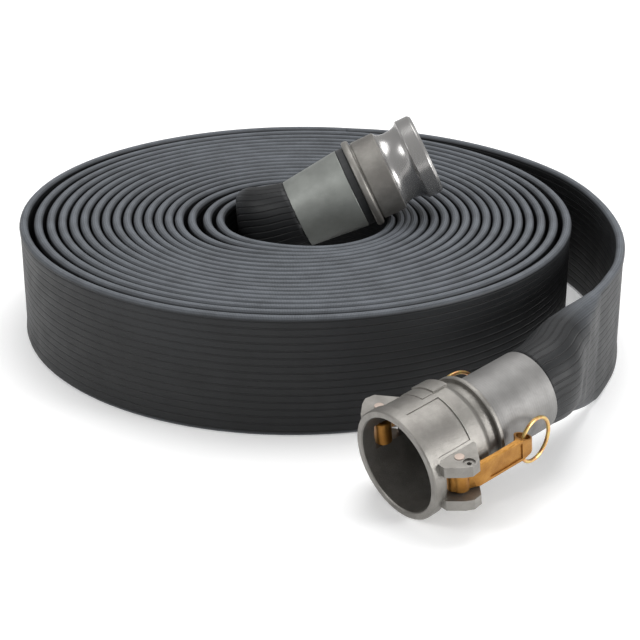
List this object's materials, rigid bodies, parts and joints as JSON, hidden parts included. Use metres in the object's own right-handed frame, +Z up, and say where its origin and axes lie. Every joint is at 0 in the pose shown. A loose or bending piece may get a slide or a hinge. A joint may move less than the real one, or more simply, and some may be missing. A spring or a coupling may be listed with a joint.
{
  "type": "rolled fire hose",
  "caption": "Lay-flat ribbed rubber delivery hose wound on edge in a flat roll, with a cam-lever coupler on its outer end and a grooved adapter on its inner end.",
  "frame": {"origin": "middle of the whole object's footprint, on the floor it lies on", "axes": "+Z up along the roll's axis; -Y towards the coupler at the front; +X towards the side that the free outer end swings round"},
  "size_m": [0.4566, 0.5664, 0.1629],
  "materials": {
    "hose_rubber": "ribbed, satin",
    "seal_rubber": "matt",
    "cast_aluminium": "cast, satin",
    "ferrule_aluminium": "crimped, satin",
    "lever_brass": "cast, satin",
    "pin_steel": "satin",
    "ring_wire": "yellow-plated wire"
  },
  "bodies": {
    "hose": {"hose_roll": "hose_rubber", "hose_tail": "hose_rubber", "hose_inner_end": "hose_rubber", "female_body": "cast_aluminium", "female_gasket": "seal_rubber", "female_ferrule": "ferrule_aluminium", "female_hose_end": "hose_rubber", "right_lever_pin": "pin_steel", "left_lever_pin": "pin_steel", "male_body": "cast_aluminium", "male_ferrule": "ferrule_aluminium", "male_hose_end": "hose_rubber"},
    "right_lever": {"right_lever": "lever_brass"},
    "left_lever": {"left_lever": "lever_brass"},
    "right_pull_ring": {"right_pull_ring": "ring_wire"},
    "left_pull_ring": {"left_pull_ring": "ring_wire"}
  },
  "joints": [
    {"name": "right_lever_hinge", "type": "hinge", "parent": "hose", "child": "right_lever", "pos_m": [0.08709, -0.26983, 0.03714], "axis": [0.0868, 0.1538, -0.9843], "range_deg": [0, 115]},
    {"name": "left_lever_hinge", "type": "hinge", "parent": "hose", "child": "left_lever", "pos_m": [0.04109, -0.21208, 0.0421], "axis": [-0.0868, -0.1538, 0.9843], "range_deg": [0, 40]},
    {"name": "right_ring_hinge", "type": "hinge", "parent": "right_lever", "child": "right_pull_ring", "pos_m": [0.12734, -0.24039, 0.04528], "axis": [0.0868, 0.1538, -0.9843], "range_deg": [-6, 120]},
    {"name": "left_ring_hinge", "type": "hinge", "parent": "left_lever", "child": "left_pull_ring", "pos_m": [0.07947, -0.1803, 0.05045], "axis": [-0.0868, -0.1538, 0.9843], "range_deg": [-6, 120]}
  ]
}
